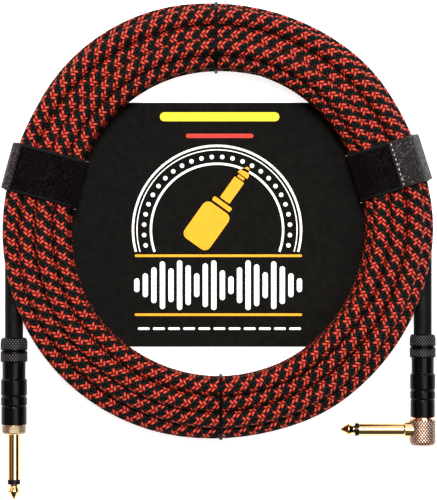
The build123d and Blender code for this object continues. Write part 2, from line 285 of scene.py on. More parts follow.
def skin(name, rings, material, body, closed=False, pattern=None, crease=40):
    """A mesh through rings of points. Its last ring joins the first if closed, or else its ends are capped.

    pattern(row, column) gives the two pattern coordinates of a quad's corners."""
    rows, columns = rings.shape[:2]
    vertices = rings.reshape(-1, 3)
    row, column = np.meshgrid(np.arange(rows if closed else rows - 1), np.arange(columns), indexing="ij")
    corners = [(row, column), (row, column + 1), (row + 1, column + 1), (row + 1, column)]
    quads = np.stack([(r % rows) * columns + c % columns for r, c in corners], -1).reshape(-1, 4)
    if not outward(vertices, quads):
        corners.reverse()
        quads = quads[:, ::-1]
    around = np.arange(columns)
    caps = [] if closed else [around, (rows - 1) * columns + around]
    if caps:
        first, last = caps
        caps = [first[::-1], last] if corners[0][0] is row else [first, last[::-1]]
    mesh = bpy.data.meshes.new(name)
    mesh.vertices.add(len(vertices))
    mesh.vertices.foreach_set("co", vertices.ravel().astype(np.float32))
    loops = np.concatenate([quads.ravel(), *caps]).astype(np.int32)
    starts = np.concatenate([4 * np.arange(len(quads)), 4 * len(quads) + columns * np.arange(len(caps))])
    mesh.loops.add(len(loops))
    mesh.loops.foreach_set("vertex_index", loops)
    mesh.polygons.add(len(starts))
    mesh.polygons.foreach_set("loop_start", starts.astype(np.int32))
    mesh.update(calc_edges=True)
    if pattern is not None:
        pairs = np.zeros((len(loops), 2), np.float32)
        for k in (0, 1):
            pairs[:quads.size, k] = np.stack([pattern(r, c)[k] for r, c in corners], -1).ravel()
        mesh.uv_layers.new(name="pattern").data.foreach_set("uv", pairs.ravel())
    mesh.shade_smooth()
    mesh.set_sharp_from_angle(angle=math.radians(crease))
    mesh.materials.append(material)
    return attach(placed(name, mesh), body)


def resampled(line, step):
    """Evenly spaced points on a line, with their distance along it."""
    reach = np.concatenate([[0], np.cumsum(np.linalg.norm(np.diff(line, axis=0), axis=1))])
    count = max(2, int(round(reach[-1] / step)) + 1)
    wanted = np.linspace(0, reach[-1], count)
    return np.stack([np.interp(wanted, reach, line[:, k]) for k in range(3)], -1), wanted


def frames_of(line, up=UP, closed=False):
    """Two directions across a line at each of its points: the one nearest up, and the one beside it."""
    run = np.roll(line, -1, 0) - np.roll(line, 1, 0) if closed else np.gradient(line, axis=0)
    run /= np.linalg.norm(run, axis=1)[:, None]
    side = np.cross(run, up)
    side /= np.linalg.norm(side, axis=1)[:, None]
    return np.cross(side, run), side


def tube(line, radius, columns, up=UP, closed=False):
    """Rings round a line."""
    above, side = frames_of(line, up, closed)
    turn = 2 * np.pi * np.arange(columns) / columns
    radius = np.broadcast_to(radius, (len(line), columns))[:, :, None]
    return (line[:, None] + radius * (np.cos(turn)[None, :, None] * above[:, None]
                                      + np.sin(turn)[None, :, None] * side[:, None]))


def softened(outline, radius, closed=True):
    """An outline of (radius, height) points with its corners rounded."""
    points = [np.array(p, float) for p in outline]
    count = len(points)
    result = []
    for k, corner in enumerate(points):
        if not closed and k in (0, count - 1):
            result.append(corner)
            continue
        back, on = points[k - 1] - corner, points[(k + 1) % count] - corner
        cut = min(radius, 0.4 * np.linalg.norm(back), 0.4 * np.linalg.norm(on))
        first = corner + cut * back / np.linalg.norm(back)
        last = corner + cut * on / np.linalg.norm(on)
        result.append(first + 0.15 * (first - corner))
        for t in (0, 0.25, 0.5, 0.75, 1):
            result.append((1 - t) ** 2 * first + 2 * t * (1 - t) * corner + t ** 2 * last)
        result.append(last + 0.15 * (last - corner))
    return result


def lathe(name, outline, origin, axis, material, body, knurl=(), closed=True, soft=0.15 * MM):
    """A turned piece: (radius, height) points round an axis.

    Each knurl is (start, end, least radius) of a zone of diamond knurling."""
    points = softened(outline, soft, closed)
    fine = []
    for k, start in enumerate(points):
        fine.append(start)
        if not closed and k == len(points) - 1:
            continue
        end = points[(k + 1) % len(points)]
        inside = any(min(start[1], end[1]) < b and max(start[1], end[1]) > a and min(start[0], end[0]) > c
                     for a, b, c in knurl)
        parts = int(np.linalg.norm(end - start) / KNURL_STEP) if inside else 0
        fine.extend(start + (end - start) * t / parts for t in range(1, parts))
    radius, height = np.array(fine).T
    turn = 2 * np.pi * np.arange(LATHE_COLUMNS) / LATHE_COLUMNS
    radii = np.repeat(radius[:, None], LATHE_COLUMNS, 1)
    crest, cut_zone = np.zeros_like(radii), np.zeros_like(radii)
    for start, end, least in knurl:
        pitch = 2 * np.pi * radius.max() / KNURL_COUNT * KNURL_STRETCH
        one = KNURL_COUNT * turn[None] / (2 * np.pi) + (height[:, None] - start) / pitch
        two = KNURL_COUNT * turn[None] / (2 * np.pi) - (height[:, None] - start) / pitch
        peak = np.minimum(1 - np.abs(2 * (one % 1) - 1), 1 - np.abs(2 * (two % 1) - 1))
        where = ((height > start) & (height < end) & (radius > least))[:, None]
        radii -= (1 - np.minimum(peak, KNURL_FLAT)) * KNURL_DEPTH * where
        crest, cut_zone = np.where(where, peak, crest), np.where(where, 1, cut_zone)
    beside = np.cross(axis, UP)
    rings = (origin + height[:, None, None] * axis + radii[:, :, None]
             * (np.cos(turn)[None, :, None] * UP + np.sin(turn)[None, :, None] * beside))
    rows = len(radii)
    return skin(name, rings, material, body, closed=closed, pattern=lambda r, c: (
        crest[r % rows, c % LATHE_COLUMNS], cut_zone[r % rows, c % LATHE_COLUMNS]))


# ---------- the woven jacket
def weave(across, along):
    """How far the yarns stand up, 0 to 1, at a share of the way round and a number of repeats along."""
    one, two = TWILL * along - YARNS * across, TWILL * along + YARNS * across
    step = (np.floor(one) - np.floor(two)) % TWILL
    first, second = one % 1, two % 1
    over = step < 2
    width = np.where(over, first, second)
    run = np.where(over, (1 - step + second) / 2, (step - 2 + first) / 2)
    return (1 - (2 * width - 1) ** 2) * (1 - FLOAT_RISE + FLOAT_RISE * np.sin(np.pi * run))


def woven_material():
    """A 2/2 twill of 24 yarns round the cable: two red and two black in turn, in both directions, with
    painted shade where the yarns dip under each other and a painted highlight on each float's crown.
    """
    material, tree, shader = new_material("woven_red_black", Specular_IOR_Level=0.15)
    across, along = pattern_of(tree)
    down = calc(tree, "MULTIPLY", along, TWILL)
    one = calc(tree, "MULTIPLY_ADD", across, -YARNS, down)
    two = calc(tree, "MULTIPLY_ADD", across, YARNS, down)
    one_count, two_count = calc(tree, "FLOOR", one), calc(tree, "FLOOR", two)
    first, second = calc(tree, "SUBTRACT", one, one_count), calc(tree, "SUBTRACT", two, two_count)
    step = calc(tree, "FLOORED_MODULO", calc(tree, "SUBTRACT", one_count, two_count), TWILL)
    over = calc(tree, "LESS_THAN", step, 2)
    under = calc(tree, "SUBTRACT", 1, over)

    def either(when_over, when_under):
        return calc(tree, "ADD", calc(tree, "MULTIPLY", when_over, over),
                    calc(tree, "MULTIPLY", when_under, under))

    def is_red(yarn_count):
        return calc(tree, "LESS_THAN", calc(tree, "FLOORED_MODULO", yarn_count, 4), 2)

    width = either(first, second)
    run = calc(tree, "MULTIPLY", 0.5, either(calc(tree, "ADD", calc(tree, "SUBTRACT", 1, step), second),
                                             calc(tree, "ADD", calc(tree, "SUBTRACT", step, 2), first)))
    red = either(is_red(one_count), is_red(two_count))
    hump = calc(tree, "SUBTRACT", 1, calc(tree, "POWER", calc(tree, "MULTIPLY_ADD", width, 2, -1), 2))
    arch = calc(tree, "SINE", calc(tree, "MULTIPLY", run, math.pi))
    height = calc(tree, "MULTIPLY", hump, calc(tree, "MULTIPLY_ADD", arch, FLOAT_RISE, 1 - FLOAT_RISE))
    strands = calc(tree, "SINE", calc(tree, "MULTIPLY_ADD", width, 38, calc(tree, "MULTIPLY", run, 5)))
    fibre = calc(tree, "MULTIPLY_ADD", strands, 0.06, height)
    dust = speckle(tree, 900, 3.0)
    worn = speckle(tree, 60, 2.0)
    red_tone = blend(tree, spread(tree, dust, 0.3, 0.7), rgb(128, 14, 7), rgb(182, 40, 24))
    red_tone = blend(tree, spread(tree, worn, 0.35, 0.7, 0.0, 0.35), red_tone, rgb(180, 38, 28))
    black_tone = blend(tree, spread(tree, dust, 0.3, 0.7), rgb(6, 9, 8), rgb(22, 28, 25))
    # painted highlight: each red float is lightened towards pink, and each black one towards grey-green, at
    # its crown
    painted_crown_highlight = calc(tree, "POWER", height, 3)
    red_tone = blend(tree, calc(tree, "MULTIPLY", painted_crown_highlight, 0.6), red_tone, rgb(214, 132, 110))
    black_tone = blend(tree, calc(tree, "MULTIPLY", painted_crown_highlight, 0.5), black_tone, rgb(44, 56, 52))
    yarn = blend(tree, red, black_tone, red_tone)
    # painted shade: the colour is darkened, down to 3 per cent, where the yarns dip under each other
    painted_gap_shade = spread(tree, height, 0.04, 0.6, 0.03, 1.0)
    shade = tree.nodes.new("ShaderNodeCombineColor")
    for socket in shade.inputs:
        feed(tree, socket, painted_gap_shade)
    feed(tree, shader.inputs["Base Color"], blend(tree, 1.0, yarn, shade.outputs[0], "MULTIPLY"))
    feed(tree, shader.inputs["Roughness"], spread(tree, red, 0.0, 1.0, 0.85, 0.55))
    bumped(tree, shader, fibre, 0.3 * MM, 0.9)
    return material


def eased(x, knots):
    """Cosine steps between (place, value) knots."""
    places, values = np.array(knots, float).T
    k = np.clip(np.searchsorted(places, x, side="right") - 1, 0, len(places) - 2)
    t = np.clip((x - places[k]) / (places[k + 1] - places[k]), 0, 1)
    return values[k] + t * t * (3 - 2 * t) * (values[k + 1] - values[k])


def coil_turns():
    """Radius and height of the coil's centre line at each point, laid as listed and then pressed together."""
    turn = np.arange(int(TURNS * STEPS) + 1) / STEPS
    low_r = [(0, 102.2), (0.25, 97.5), (1, 92.5), (1.75, 86), (2.5, 79), (3, 79.5), (3.5, 83), (4.5, 92),
             (5, 99), (5.35, 101.5), (5.62, 86.5), (6, 77), (6.25, 79.5), (6.5, 78.5), (6.6, 80)]
    low_layer = [(0, 0), (2.5, 0), (3, 0.5), (3.5, 1), (5, 1), (5.35, 1.2), (5.62, 1.4), (6, 1), (6.5, 1.6),
                 (6.6, 2)]
    wander = [(0, 0), (0.1, 2.6), (0.233, 2.3), (0.4, 2.3), (0.5, 2.5), (0.733, 6.5), (0.833, 7.4),
              (0.9, 8.1), (1, 8.75)]
    last_r = [(9.5, 104.5), (9.62, 108.5), (9.85, 108.5), (10, 106.5), (10.2, 107.2), (10.3, 111),
              (10.4, 109.5), (10.5, 102.2)]
    last_layer = [(9.5, 2), (9.62, 1.4), (9.75, 1.2), (10, 1), (10.25, 0.2), (10.5, 0)]
    laid = turn - TOP_START
    top_r = LAID_R + TOP_PITCH * np.floor(laid) + eased(laid % 1, wander) * MM
    on_top, last = turn > TOP_START, turn >= last_r[0][0]
    radius = np.where(last, eased(turn, last_r) * MM, np.where(on_top, top_r, eased(turn, low_r) * MM))
    layer = np.where(last, eased(turn, last_layer), np.where(on_top, 2.0, eased(turn, low_layer)))
    radius = radius * TURNS_SCALE
    radius[0] = radius[-1] = TAIL_R
    return pressed(radius, FLOOR_Z + layer * LAYER, np.where(on_top, 0.05, 0.002))


def pressed(radius, height, pull, rounds=1500, drop=0.3 * MM, stiffness=0.1, push=0.4):
    """Drops the turns and pushes them apart until they rest on each other. pull holds each in its place."""
    count = len(radius)
    layers = math.ceil(count / STEPS)
    index = np.arange(layers * STEPS).reshape(layers, STEPS)
    there = index < count
    index = np.where(there, index, 0)
    same = np.eye(layers)[:, :, None]
    pairs = there[:, None] & there[None] & (same == 0)
    wanted = radius.copy()
    headings = (90 - 360 * np.arange(count) / STEPS) % 360
    outer, inner = eased(headings, OUTLINE) * MM, eased(headings, INLINE) * MM
    by_nut = (headings > NUT_HEADINGS[0]) & (headings < NUT_HEADINGS[1])
    for k in range(rounds):
        height = height - drop * (1 if k < 0.9 * rounds else 0.3)
        radius = radius + pull * (wanted - radius)
        for line in (radius, height):
            line[1:-1] += stiffness * (line[:-2] + line[2:] - 2 * line[1:-1])
        radius[0], radius[-1] = wanted[0], wanted[-1]
        height[0] = height[-1] = FLOOR_Z
        for _ in range(4):
            r, z = radius[index], height[index]
            dr, dz = r[:, None] - r[None], z[:, None] - z[None]
            apart = np.sqrt(dr * dr + dz * dz) + same
            excess = np.where(pairs, np.clip(CABLE_D - apart, 0, None), 0)
            radius[index[there]] += push * (excess * dr / apart).sum(1)[there]
            height[index[there]] += push * (excess * dz / apart).sum(1)[there]
            height = np.maximum(height, FLOOR_Z)
            limit = np.where(by_nut & (height < NUT_TOP), np.minimum(outer, NUT_CLEAR_R), outer)
            radius = np.clip(radius, inner, limit)
    return radius, height


def cable_route():
    """The cable's points, from the angle plug up into the coil, round it, and down to the straight plug."""
    radius, height = coil_turns()
    angle = math.pi / 2 - 2 * math.pi * np.arange(len(radius)) / STEPS
    radius[1:-1] /= math.cos(math.pi / STEPS)  # the spline runs inside its points by this much
    coil = np.stack([COIL[0] + radius * np.sin(angle), COIL[1] + radius * np.cos(angle), height], -1)
    tails = []
    for node in ("angle_end_lead", "straight_end_lead"):
        x, _, z = middle(node)
        levels = np.linspace(low(node)[1], COIL[1], 5)[:-1]
        tails.append(np.stack([np.full(4, x), levels, np.full(4, z)], -1))
    return np.concatenate([tails[0], coil, tails[1][::-1]])


def smooth_line(points):
    """Points read from a route's NURBS spline."""
    curve = bpy.data.curves.new("route", "CURVE")
    curve.dimensions = "3D"
    curve.resolution_u = 12
    spline = curve.splines.new("NURBS")
    spline.points.add(len(points) - 1)
    for point, place in zip(spline.points, points):
        point.co = (*place, 1)
    spline.order_u = 3
    spline.use_endpoint_u = True
    holder = placed("route", curve)
    mesh = bpy.data.meshes.new_from_object(holder)
    line = np.array([v.co for v in mesh.vertices])
    bpy.data.objects.remove(holder)
    bpy.data.curves.remove(curve)
    bpy.data.meshes.remove(mesh)
    return line


def woven_cable(line):
    """The cable: a tube with every yarn of its jacket standing up from it, and a slow twist along it."""
    path, reach = resampled(line, BRAID_REPEAT / BRAID_ROWS)
    repeats = reach / BRAID_REPEAT
    twist = 0.035 * np.sin(2 * np.pi * reach / 0.83 + 1) + 0.02 * np.sin(2 * np.pi * reach / 0.37)
    across = np.arange(BRAID_COLUMNS)[None] / BRAID_COLUMNS
    relief = BRAID_RELIEF * (weave(across, repeats[:, None]) - 0.8)
    above, side = frames_of(path)
    turn = 2 * np.pi * (across + twist[:, None])
    radius = (CABLE_R + relief)[:, :, None]
    rings = path[:, None] + radius * (np.cos(turn)[:, :, None] * above[:, None]
                                      + np.sin(turn)[:, :, None] * side[:, None])
    cable = skin("woven_cable", rings, woven_material(), "cable", crease=180, pattern=lambda r, c: (
        c / BRAID_COLUMNS, repeats[np.clip(r, 0, len(repeats) - 1)]))
    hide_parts("cable_coil", "straight_end_lead", "angle_end_lead")
    return cable


ROUTE = smooth_line(cable_route())
cable = woven_cable(ROUTE)


# ---------- plugs
def gold(name, tone, knurl, roughness):
    """Polished plating, a little uneven in tone."""
    return finish_of(name, tone, tuple(min(1, c * 1.06) for c in tone), 2500, 0.002 * MM, roughness,
                     knurl=knurl, metallic=1.0)


# knurl colours: grooves darkened as dirt and painted shade, crests lightened as wear and painted highlight
YELLOW_GOLD = gold("yellow_gold", rgb(230, 202, 152), (rgb(96, 62, 34), rgb(255, 246, 220)), (0.06, 0.14))
ROSE_GOLD = gold("rose_gold", rgb(238, 196, 160), (rgb(104, 62, 42), rgb(255, 244, 228)), (0.14, 0.24))
BLACK_NICKEL = finish_of("black_nickel", rgb(6, 6, 9), rgb(13, 13, 17), 3000, 0.004 * MM, (0.18, 0.28),
                         (1, 8, 1), knurl=(rgb(2, 2, 3), rgb(96, 96, 102)), Specular_IOR_Level=0.15)
BLACK_PLASTIC = finish_of("black_insulator_plastic", rgb(8, 8, 8), rgb(15, 14, 13), 4000, 0.01 * MM,
                          (0.35, 0.5), Specular_IOR_Level=0.25)
SHRINK = finish_of("heat_shrink_black", rgb(8, 8, 9), rgb(17, 17, 18), 1600, 0.06 * MM, (0.5, 0.7),
                   (1, 0.35, 1), Specular_IOR_Level=0.15)


def barrel(plug, body):
    """Handle with its skirt, grooves, waist and knurled band, open at the back for the collet."""
    node = f"{plug}_barrel"
    x, _, z = middle(node)
    nut_overlap = 2.5 * MM
    start, length, r = low(node)[1], size(node)[1] + nut_overlap, size(node)[0] / 2
    front_thread_r, front_thread_end, bore_r = 5.26 * MM, 6.7 * MM, 5 * MM
    nut_thread_r, collet_r, collet_start = 5.9 * MM, 5.45 * MM, length - 11 * MM

    def at(share):
        return share * length

    back = length - nut_overlap
    outline = [
        (front_thread_r, 0), (0.933 * r, 0), (0.933 * r, at(0.196)), (0.900 * r, at(0.205)),
        (0.900 * r, at(0.214)), (0.959 * r, at(0.226)), (0.959 * r, at(0.306)), (0.900 * r, at(0.317)),
        (0.900 * r, at(0.328)), (0.963 * r, at(0.341)), (0.963 * r, at(0.508)), (0.853 * r, at(0.530)),
        (0.853 * r, at(0.716)), (r, at(0.724)), (r, at(0.834)), (r - 0.7 * MM, at(0.850)),
        (nut_thread_r, at(0.850)), (nut_thread_r, back), (collet_r, back), (collet_r, collet_start),
        (bore_r, collet_start), (bore_r, front_thread_end), (front_thread_r, front_thread_end),
    ]
    band = (at(0.738), at(0.822), 0.97 * r)
    piece = lathe(f"{plug}_handle", outline, np.array([x, start, z]), ALONG_Y, BLACK_NICKEL, body, [band])
    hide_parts(node)


def tail_nut(plug, body):
    """Knurled nut with a rounded shoulder."""
    node = f"{plug}_tail_nut"
    x, _, z = middle(node)
    start, length, r = low(node)[1], size(node)[1], size(node)[0] / 2
    mouth, rim, rounding = 4.82 * MM, 0.5 * MM, 2.6 * MM
    shoulder = [(mouth + rim + (r - mouth - rim) * math.cos(t), length - rounding + rounding * math.sin(t))
                for t in np.linspace(0, math.pi / 2, 12)]
    outline = [(NUT_THREAD_R, 0), (r, 0), (r, length - 3 * MM)] + shoulder + [
        (mouth, length), (mouth, length - 0.8 * MM), (NUT_THREAD_R, length - 1.6 * MM)]
    zone = (0.5 * MM, length - 0.5 * MM, 0.86 * r)
    piece = lathe(f"{plug}_knurled_nut", outline, np.array([x, start, z]), ALONG_Y, BLACK_NICKEL, body,
                  [zone], soft=0.1 * MM)
    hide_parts(node)


def pointed_tip(plug, axis):
    """Pointed contact with its rod. Gives the place of its point, where the plug's lengths start."""
    along = int(np.argmax(axis))
    tip, ring = f"{plug}_tip", f"{plug}_tip_insulator"
    origin = middle(tip)
    origin[along] = low(tip)[along]
    neck_end = low(ring)[along] - low(tip)[along]
    widest, neck = 0.55 * neck_end, 0.87 * neck_end
    neck_r, foot_r, rod_r, edge = 2.1 * MM, 2.3 * MM, 1 * MM, 0.15 * MM
    rod_end = size(tip)[along]
    nose = [(SHAFT_R * share ** 0.8, (widest - edge) * share)
            for share in (0.1, 0.2, 0.35, 0.5, 0.7, 0.85, 1)]
    outline = [(0.05 * MM, 0), (0.3 * MM, 0.05 * MM)] + nose + [
        (SHAFT_R, widest + edge), (neck_r, neck), (foot_r, neck_end), (rod_r, neck_end), (rod_r, rod_end),
        (0.05 * MM, rod_end)]
    piece = lathe(f"{plug}_pointed_tip", outline, origin, axis, YELLOW_GOLD, "cable", closed=False, soft=edge)
    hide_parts(tip)
    return origin


def straight_shaft(origin):
    """Shaft, knurled collar and threaded boss in one."""
    node = "straight_shaft"
    start = low(node)[1] - origin[1]
    front = low("straight_barrel")[1] - origin[1]
    collar_r = size(node)[0] / 2
    collar_start = front - 4.85 * MM
    boss_end = high(node)[1] - origin[1]
    collar_end = front - 0.1 * MM
    outline = [(SHAFT_BORE_R, start), (SHAFT_R, start), (SHAFT_R, collar_start),
               (collar_r - 1.0 * MM, collar_start), (collar_r, collar_start + 0.9 * MM),
               (collar_r, collar_end)]
    outline += thread(BOSS_R, collar_end, boss_end) + [(SHAFT_BORE_R, boss_end)]
    zone = (collar_start + 0.3 * MM, front - 0.35 * MM, collar_r - 0.8 * MM)
    piece = lathe("straight_gold_shaft", outline, origin, ALONG_Y, YELLOW_GOLD, "cable", [zone],
                  soft=0.12 * MM)
    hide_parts(node)


def thread(radius, start, end, pitch=0.8 * MM, depth=0.35 * MM):
    """An outline of thread crests and roots, with plain ends."""
    points = [(radius, start)]
    turns = int((end - start - pitch) / pitch)
    for k in range(turns):
        points += [(radius, start + pitch * (k + 0.75)), (radius - depth, start + pitch * (k + 1.15))]
    return points + [(radius, start + pitch * (turns + 0.75)), (radius, end)]


def angle_shaft(origin):
    """Shaft and the collar that it is pressed into the elbow by."""
    node = "angle_shaft"
    start, end = low(node)[0] - origin[0], high(node)[0] - origin[0]
    collar_start, collar_end = ANGLE_COLLAR
    collar_r, spigot_r = 4.2 * MM, 3 * MM
    outline = [(SHAFT_BORE_R, start), (SHAFT_R, start), (SHAFT_R, collar_start - 0.5 * MM),
               (SHAFT_R + 0.35 * MM, collar_start), (collar_r, collar_start), (collar_r, collar_end),
               (spigot_r, collar_end), (spigot_r, end), (SHAFT_BORE_R, end)]
    piece = lathe("angle_gold_shaft", outline, origin, ALONG_X, YELLOW_GOLD, "cable")
    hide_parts(node)


def angle_head():
    """Knurled elbow: a hollow cylinder, rounded at its closed end, with the boss for the barrel."""
    node = "angle_head"
    x, _, z = middle("angle_barrel")
    start, r = low(node)[1], size(node)[0] / 2
    front, boss_end = low("angle_barrel")[1] - start, size(node)[1]
    length = front - 0.9 * MM
    corner, floor_t, boss_bore_r, bore_r, centre_r = 2.2 * MM, 2.2 * MM, 2.9 * MM, 3.6 * MM, 0.1 * MM
    rounding = [(r - corner + corner * math.cos(t), corner + corner * math.sin(t))
                for t in np.linspace(-math.pi / 2, 0, 10)]
    outline = [(centre_r, 0)] + rounding + [(r, length)] + thread(BOSS_R, length, boss_end) + [
        (boss_bore_r, boss_end), (boss_bore_r, length - 1 * MM), (bore_r, length - 1 * MM), (bore_r, floor_t),
        (centre_r, floor_t)]
    zone = (0.25 * MM, length - 0.7 * MM, r - 0.9 * MM)
    piece = lathe("angle_knurled_head", outline, np.array([x, start, z]), ALONG_Y, ROSE_GOLD, "cable", [zone],
                  closed=False, soft=0.12 * MM)
    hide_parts(node)


def heat_shrink(plug):
    """Shrunk sleeve: the weave shows faintly through it, and its end is drawn in."""
    node = f"{plug}_heat_shrink"
    x, _, z = middle(node)
    start, end, r = low(node)[1], high(node)[1], size(node)[0] / 2
    line, reach = resampled(np.array([[x, start, z], [x, end, z]]), 0.4 * MM)
    share = reach / reach[-1]
    imprint = weave(np.arange(SLEEVE_COLUMNS)[None] / SLEEVE_COLUMNS, (reach / BRAID_REPEAT)[:, None])
    lip = 0.15 * MM * np.exp(-((1 - share) / 0.02) ** 2)
    radius = r + 0.05 * MM * imprint - lip[:, None] - 0.02 * MM
    outer = tube(line, radius, SLEEVE_COLUMNS)
    bore = np.full((len(line), SLEEVE_COLUMNS), CABLE_R - 0.15 * MM)
    inner = tube(line[::-1], bore, SLEEVE_COLUMNS)
    inner = inner[:, (-np.arange(SLEEVE_COLUMNS)) % SLEEVE_COLUMNS]
    piece = skin(f"{plug}_shrunk_sleeve", np.concatenate([outer, inner]), SHRINK, "cable", closed=True)
    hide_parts(node)


for plug in ("straight", "angle"):
    barrel(plug, f"{plug}_barrel_body")
    tail_nut(plug, f"{plug}_nut_body")
    heat_shrink(plug)
straight_shaft(pointed_tip("straight", ALONG_Y))
angle_shaft(pointed_tip("angle", ALONG_X))
angle_head()


# ---------- straps, ties and card
def strap_axes(angle):
    """Outward from the coil at an angle, and along it."""
    out = np.array([math.sin(math.radians(angle)), math.cos(math.radians(angle)), 0])
    return out, np.array([out[1], -out[0], 0])


def bundle_centres(angle, half_width):
    """Where the cable's centre lines cross a stretch of the coil: (radius, height) pairs."""
    x, y = ROUTE[:, 0] - COIL[0], ROUTE[:, 1] - COIL[1]
    out = np.array([math.sin(math.radians(angle)), math.cos(math.radians(angle))])
    radial, along = x * out[0] + y * out[1], x * out[1] - y * out[0]
    near = (np.abs(along) < half_width) & (radial > 0)
    return np.stack([radial[near], ROUTE[near, 2]], -1)


def wrap(angle, half_width, offset, under, slack=None, count=720):
    """A band's route round the bundle: the strands' hull, pushed out, then straight down and flat underneath.

    slack is further (radius, height) places that the route keeps outside of, where a band hangs loose."""
    centres = bundle_centres(angle, half_width)
    if slack is not None:
        centres = np.vstack([centres, slack])
    heading = np.linspace(0, 2 * np.pi, count, endpoint=False)
    way = np.stack([np.cos(heading), np.sin(heading)], -1)
    touch = centres[np.argmax(way @ centres.T, axis=1)]
    below = way[:, 1] < 0
    way[below] = np.clip(LEG_SQUARENESS * way[below], -1, 1)
    route = touch + offset * way
    route[:, 1] = np.maximum(route[:, 1], under)
    return route


def even(route, step, closed=True):
    """Evenly spaced points along a flat route."""
    loop = np.concatenate([route, route[:1]]) if closed else route
    flat = np.concatenate([loop, np.zeros((len(loop), 1))], 1)
    points, _ = resampled(flat, step)
    points = points[:-1] if closed else points
    return points[:, :2]


def eased_route(route, rounds, closed=True):
    """Rounds a route's corners a little."""
    for _ in range(rounds):
        if closed:
            route = route + 0.25 * (np.roll(route, 1, 0) + np.roll(route, -1, 0) - 2 * route)
        else:
            route[1:-1] += 0.25 * (route[:-2] + route[2:] - 2 * route[1:-1])
    return route


def normals_of(route, closed=True):
    """Outward directions across a flat route."""
    run = np.roll(route, -1, 0) - np.roll(route, 1, 0) if closed else np.gradient(route, axis=0)
    run = run / np.linalg.norm(run, axis=1)[:, None]
    return np.stack([run[:, 1], -run[:, 0]], -1)


def band(name, route, angle, width, thickness, material, body, closed, fuzz, columns=40):
    """A flat band with rounded edges along a (radius, height) route, as wide as given at each point."""
    width = np.broadcast_to(width, len(route))
    across = np.linspace(-1, 1, columns)
    edge = 1 - np.clip((np.abs(across) - 0.94) / 0.06, 0, 1) ** 2
    section_y = np.concatenate([across, across[::-1]])[None] * width[:, None] / 2
    section_n = np.concatenate([edge, -edge[::-1]]) * thickness / 2 * 0.98 + np.concatenate(
        [np.full(columns, 1.0), np.full(columns, -1.0)]) * thickness * 0.01
    out, beside = strap_axes(angle)
    rings = np.zeros((len(route), 2 * columns, 3))
    for k, (spot, way) in enumerate(zip(route, normals_of(route, closed))):
        for c in range(2 * columns):
            lift = section_n[c]
            place = Vector((spot[0] / MM, section_y[k, c] / MM, spot[1] / MM))
            lift += fuzz * noise.noise(place * 0.9)
            lift += 0.6 * fuzz * noise.noise(place * 0.21 + Vector((7, 3, 5)))
            flat = spot + way * lift
            rings[k, c] = out * flat[0] + beside * section_y[k, c] + UP * flat[1]
    rings += COIL_AXIS
    share = np.concatenate([across, across[::-1]])
    return skin(name, rings, material, body, closed=closed, crease=60, pattern=lambda r, c: (
        np.abs(share[c % len(share)]), 0.0 * r))


def loop_material():
    """Fuzzy side of hook-and-loop tape: matted black fibres."""
    material, tree, shader = new_material("loop_tape", roughness=0.9, Sheen_Weight=0.08, Sheen_Roughness=0.5,
                                          Specular_IOR_Level=0.05)
    shader.inputs["Sheen Tint"].default_value = rgb(120, 110, 112)
    hair = speckle(tree, 1400, 6.0)
    tufts = speckle(tree, 260, 3.0)
    tone = blend(tree, spread(tree, tufts, 0.35, 0.65), rgb(5, 4, 5), rgb(14, 11, 13))
    tone = blend(tree, spread(tree, hair, 0.5, 0.72, 0.0, 0.6), tone, rgb(50, 42, 47))
    selvedge = spread(tree, pattern_of(tree)[0], 0.86, 0.93)
    tone = blend(tree, selvedge, tone, blend(tree, hair, rgb(16, 17, 19), rgb(40, 41, 46)))
    feed(tree, shader.inputs["Base Color"], tone)
    first = bumped(tree, shader, tufts, 0.5 * MM, 0.7)
    bumped(tree, shader, hair, 0.25 * MM, 0.8, first)
    return material


def hook_material():
    """Back of the hook tape: a coarse dark weave with pale specks painted as glints of the hooks."""
    material, tree, shader = new_material("hook_tape", roughness=0.75, Specular_IOR_Level=0.3,
                                          Sheen_Weight=0.15, Sheen_Roughness=0.4)
    place = tree.nodes.new("ShaderNodeTexCoord").outputs["Object"]
    cells = tree.nodes.new("ShaderNodeTexVoronoi")
    feed(tree, cells.inputs["Vector"], place)
    feed(tree, cells.inputs["Scale"], 1500)
    grain = speckle(tree, 1100, 5.0)
    tone = blend(tree, spread(tree, grain, 0.35, 0.65), rgb(13, 11, 12), rgb(40, 35, 36))
    # painted glints: pale specks of the hooks, in random patches
    lit = spread(tree, speckle(tree, 500, 1.0), 0.5, 0.6)
    painted_glint = calc(tree, "MULTIPLY", spread(tree, cells.outputs["Distance"], 0.2, 0.34, 0.9, 0.0), lit)
    tone = blend(tree, painted_glint, tone, rgb(150, 142, 142))
    feed(tree, shader.inputs["Base Color"], tone)
    bumped(tree, shader, calc(tree, "ADD", grain, cells.outputs["Distance"]), 0.3 * MM, 0.8)
    return material


LOOP_TAPE = loop_material()
HOOK_TAPE = hook_material()
THREADS = {
    "left": finish_of("dark_thread", rgb(50, 47, 48), rgb(84, 80, 81), 5000, 0.03 * MM, (0.5, 0.7)),
    "right": finish_of("light_thread", rgb(150, 146, 144), rgb(206, 202, 198), 5000, 0.03 * MM, (0.5, 0.7)),
}


def tab_route(angle, rise):
    """A route round the bundle from underneath, that far outside the band."""
    route = wrap(angle, STRAP_W / 2, CABLE_R + STRAP_GAP + STRAP_T + STRAP_GAP + rise, 0)
    return even(np.roll(route, 180, axis=0), 0.25 * MM)


